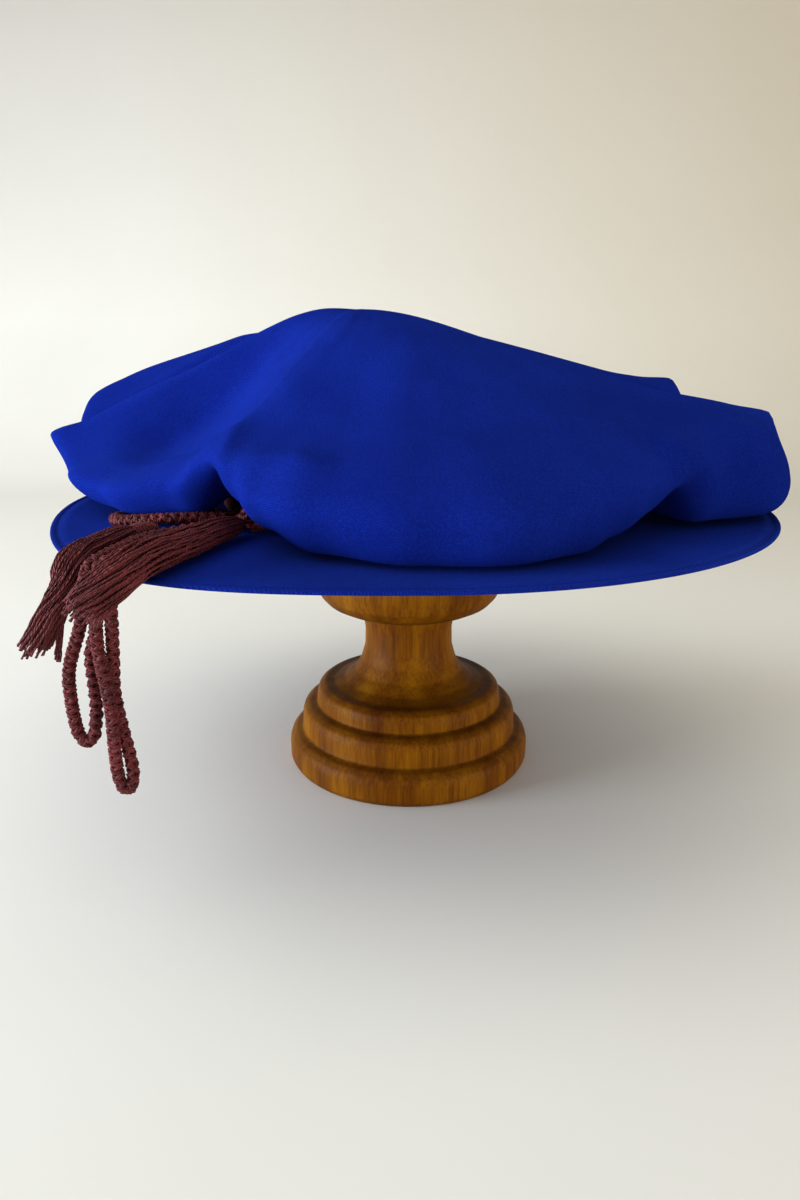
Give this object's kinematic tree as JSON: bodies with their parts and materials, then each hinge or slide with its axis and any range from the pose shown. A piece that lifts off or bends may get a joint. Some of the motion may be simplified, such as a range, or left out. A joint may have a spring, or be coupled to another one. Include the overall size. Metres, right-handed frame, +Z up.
{
  "type": "graduation bonnet on a turned wooden hat stand",
  "caption": "Soft academic bonnet with a gathered cloth crown, a stiff round brim and a braided cord with tassels, resting on a plain turned wooden stand.",
  "frame": {"origin": "centre of the stand's flat underside, on the table", "axes": "+Z up along the stand's axis; -Y towards the front of the crown; +X to the right seen from the front, the tassels hang at -X -Y"},
  "size_m": [0.3751, 0.36, 0.2426],
  "materials": {
    "wood": "waxed, warm brown, grain upright",
    "brim_cloth": "matt royal blue cloth over stiff card",
    "crown_cloth": "matt royal blue fine twill",
    "maroon_cord": "maroon yarn with a soft sheen"
  },
  "bodies": {
    "root": {"stand": "wood", "brim": "brim_cloth", "crown": "crown_cloth", "cord_band": "maroon_cord", "cord_knot": "maroon_cord", "cord_loop_left": "maroon_cord", "cord_loop_right": "maroon_cord", "cord_loop_short": "maroon_cord", "tassel_front": "maroon_cord", "tassel_rear": "maroon_cord"}
  },
  "joints": []
}
